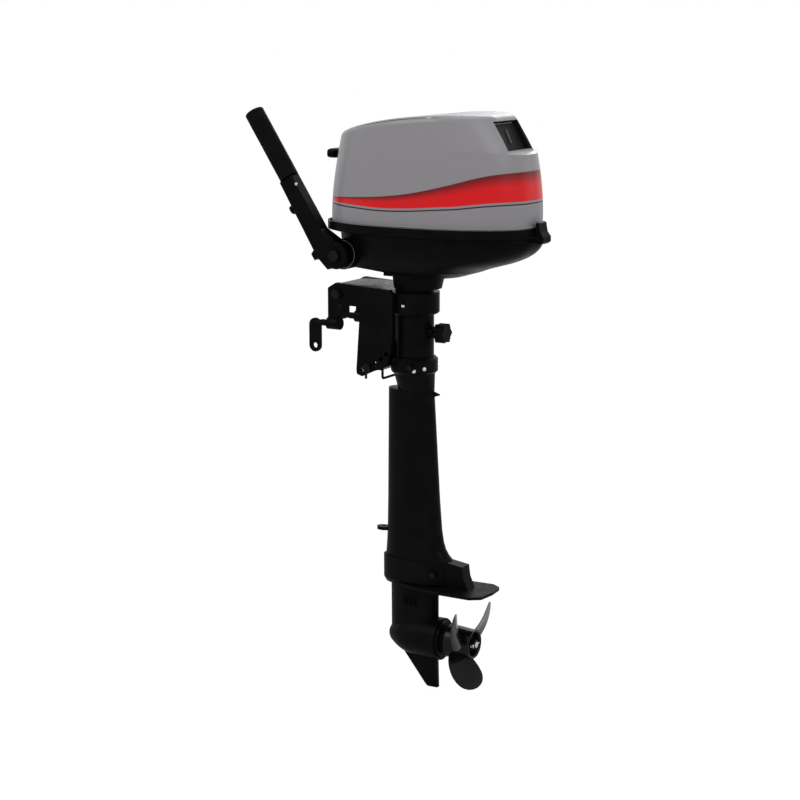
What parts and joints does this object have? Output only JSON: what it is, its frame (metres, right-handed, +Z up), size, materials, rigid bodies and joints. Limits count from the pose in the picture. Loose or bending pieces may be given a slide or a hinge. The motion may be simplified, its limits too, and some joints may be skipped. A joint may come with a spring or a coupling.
{
  "type": "outboard motor",
  "caption": "Tiller-steered portable outboard motor with transom clamps, tilting swivel bracket, long leg, anti-ventilation plate, three-blade propeller and lift-off silver cowl.",
  "frame": {"origin": "where the transom's top edge meets its outer face, midway between the clamp brackets", "axes": "+X aft, +Y to starboard, +Z up"},
  "size_m": [0.6167, 0.264, 1.1562],
  "materials": {
    "black_bracket": "satin black enamel on die cast aluminium",
    "black_leg": "satin black enamel on cast aluminium",
    "black_pan": "moulded black, fine grain",
    "black_plastic": "moulded black",
    "silver_cowl": "gloss silver grey lacquer",
    "rubber": "matt black rubber",
    "steel": "stainless, fine turned",
    "aluminium": "as cast",
    "cast_iron": "machined",
    "black_propeller": "semi gloss black",
    "red_button": "gloss red",
    "bush_plastic": "natural nylon"
  },
  "bodies": {
    "clamp_bracket": {"clamp_bracket_port": "black_bracket", "clamp_bracket_starboard": "black_bracket", "tilt_bolt": "steel"},
    "pad_port": {"clamp_pad_port": "steel"},
    "pad_starboard": {"clamp_pad_starboard": "steel"},
    "screw_port": {"clamp_screw_port": "steel"},
    "screw_starboard": {"clamp_screw_starboard": "steel"},
    "trim_pin": {"trim_pin": "steel"},
    "swivel": {"swivel_bracket": "black_bracket", "swivel_bushes": "bush_plastic"},
    "tilt_support": {"tilt_support": "steel"},
    "steering_knob": {"steering_friction_knob": "black_plastic"},
    "motor": {"steering_column": "black_bracket", "lower_mount": "black_bracket", "driveshaft_housing": "black_leg", "gearcase": "black_leg", "bearing_carrier": "black_leg", "water_screens": "black_plastic", "anode": "aluminium", "water_pump_housing": "aluminium", "lower_cowl": "black_pan", "tiller_bracket": "black_pan", "front_panel": "black_plastic", "cowl_seal": "rubber", "cylinder_block": "aluminium", "cylinder_head": "aluminium", "rocker_cover": "aluminium", "carburettor": "aluminium", "spark_plug": "steel", "ignition_coil": "black_plastic", "recoil_housing": "black_plastic", "fuel_connector": "black_plastic", "motor_bolts": "steel", "shaft_bearings": "steel"},
    "crank": {"crankshaft": "steel", "flywheel": "cast_iron", "driveshaft": "steel", "pinion": "steel", "impeller": "rubber"},
    "piston": {"piston": "aluminium"},
    "forward_gear": {"forward_gear": "steel"},
    "reverse_gear": {"reverse_gear": "steel"},
    "propeller": {"propeller_shaft": "steel", "propeller": "black_propeller", "prop_nut": "steel", "cotter_pin": "steel"},
    "clutch_dog": {"clutch_dog": "steel"},
    "shift_lever": {"shift_lever": "black_plastic"},
    "shift_rod": {"shift_rod": "steel"},
    "tiller": {"tiller_arm": "black_plastic"},
    "grip": {"throttle_grip": "rubber"},
    "throttle_knob": {"throttle_friction_knob": "black_plastic"},
    "starter_handle": {"starter_handle": "black_plastic", "starter_rope": "rubber"},
    "starter_pulley": {"starter_pulley": "bush_plastic"},
    "top_cowl": {"top_cowl": "silver_cowl"},
    "cowl_latch": {"cowl_latch": "black_plastic"},
    "choke_knob": {"choke_knob": "black_plastic"},
    "stop_button": {"stop_button": "red_button"}
  },
  "joints": [
    {"name": "tilt", "type": "hinge", "parent": "clamp_bracket", "child": "swivel", "pos_m": [-0.052, 0, 0.022], "axis": [0, -1, 0], "range_deg": [0, 68]},
    {"name": "steering", "type": "hinge", "parent": "swivel", "child": "motor", "pos_m": [0.09, 0, 0], "axis": [0, 0, 1], "range_deg": [-45, 45]},
    {"name": "pad_slide_port", "type": "slide", "parent": "clamp_bracket", "child": "pad_port", "axis": [1, 0, 0], "range_m": [0, 0.0145]},
    {"name": "clamp_turn_port", "type": "hinge", "parent": "pad_port", "child": "screw_port", "pos_m": [-0.1, -0.053, -0.038], "axis": [1, 0, 0], "range_deg": [0, 2520]},
    {"name": "pad_slide_starboard", "type": "slide", "parent": "clamp_bracket", "child": "pad_starboard", "axis": [1, 0, 0], "range_m": [0, 0.0145]},
    {"name": "clamp_turn_starboard", "type": "hinge", "parent": "pad_starboard", "child": "screw_starboard", "pos_m": [-0.1, 0.053, -0.038], "axis": [1, 0, 0], "range_deg": [0, 2520]},
    {"name": "trim_pin_pull", "type": "slide", "parent": "clamp_bracket", "child": "trim_pin", "axis": [0, -1, 0], "range_m": [0, 0.14]},
    {"name": "bail_swing", "type": "hinge", "parent": "swivel", "child": "tilt_support", "pos_m": [0.0395, 0, -0.112], "axis": [0, 1, 0], "range_deg": [0, 50]},
    {"name": "steering_friction_turn", "type": "hinge", "parent": "swivel", "child": "steering_knob", "pos_m": [0.15, 0, -0.048], "axis": [1, 0, 0], "range_deg": [0, 360]},
    {"name": "crank_spin", "type": "hinge", "parent": "motor", "child": "crank", "pos_m": [0.09, 0, 0], "axis": [0, 0, 1], "continuous": true},
    {"name": "piston_slide", "type": "slide", "parent": "motor", "child": "piston", "axis": [1, 0, 0], "range_m": [-0.02, 0.021]},
    {"name": "forward_gear_spin", "type": "hinge", "parent": "motor", "child": "forward_gear", "pos_m": [0.09, 0, -0.669], "axis": [1, 0, 0], "continuous": true},
    {"name": "reverse_gear_spin", "type": "hinge", "parent": "motor", "child": "reverse_gear", "pos_m": [0.09, 0, -0.669], "axis": [1, 0, 0], "continuous": true},
    {"name": "propeller_spin", "type": "hinge", "parent": "motor", "child": "propeller", "pos_m": [0.1, 0, -0.669], "axis": [1, 0, 0], "continuous": true},
    {"name": "dog_slide", "type": "slide", "parent": "propeller", "child": "clutch_dog", "axis": [1, 0, 0], "range_m": [-0.0026, 0.0026]},
    {"name": "shift", "type": "hinge", "parent": "motor", "child": "shift_lever", "pos_m": [0.06, 0.1, 0.082], "axis": [0, 1, 0], "range_deg": [-20, 20]},
    {"name": "shift_rod_slide", "type": "slide", "parent": "motor", "child": "shift_rod", "axis": [0, 0, 1], "range_m": [-0.0033, 0.0033]},
    {"name": "tiller_fold", "type": "hinge", "parent": "motor", "child": "tiller", "pos_m": [-0.032, -0.085, 0.103], "axis": [0, -1, 0], "range_deg": [0, 57]},
    {"name": "throttle_twist", "type": "hinge", "parent": "tiller", "child": "grip", "pos_m": [-0.14383, -0.085, 0.24858], "axis": [-0.5446, 0, 0.8387], "range_deg": [0, 95]},
    {"name": "throttle_friction_turn", "type": "hinge", "parent": "tiller", "child": "throttle_knob", "pos_m": [-0.13182, -0.085, 0.18841], "axis": [0.8387, 0, 0.5446], "range_deg": [0, 360]},
    {"name": "starter_pull", "type": "slide", "parent": "motor", "child": "starter_handle", "axis": [-1, 0, 0], "range_m": [0, 0.6], "stiffness_N_per_m": 12},
    {"name": "pulley_spin", "type": "hinge", "parent": "motor", "child": "starter_pulley", "pos_m": [0.09, 0, 0.294], "axis": [0, 0, 1], "range_deg": [0, 905]},
    {"name": "cowl_lift", "type": "slide", "parent": "motor", "child": "top_cowl", "axis": [0, 0, 1], "range_m": [0, 0.26]},
    {"name": "latch_turn", "type": "hinge", "parent": "motor", "child": "cowl_latch", "pos_m": [0.366, 0, 0.15], "axis": [0, 1, 0], "range_deg": [0, 40]},
    {"name": "choke_pull", "type": "slide", "parent": "motor", "child": "choke_knob", "axis": [-1, 0, 0], "range_m": [0, 0.02]},
    {"name": "stop_press", "type": "slide", "parent": "motor", "child": "stop_button", "axis": [1, 0, 0], "range_m": [0, 0.003], "stiffness_N_per_m": 300}
  ],
  "couplings": [
    {"joint": "forward_gear_spin", "follows": "crank_spin", "ratio": 0.46429},
    {"joint": "reverse_gear_spin", "follows": "crank_spin", "ratio": -0.46429},
    {"joint": "clamp_turn_port", "follows": "pad_slide_port", "rad_per_m": 3033.3},
    {"joint": "clamp_turn_starboard", "follows": "pad_slide_starboard", "rad_per_m": 3033.3},
    {"joint": "shift", "follows": "shift_rod_slide", "rad_per_m": 105.78},
    {"joint": "dog_slide", "follows": "shift_rod_slide", "ratio": 0.75757},
    {"joint": "pulley_spin", "follows": "starter_pull", "rad_per_m": 26.316}
  ]
}
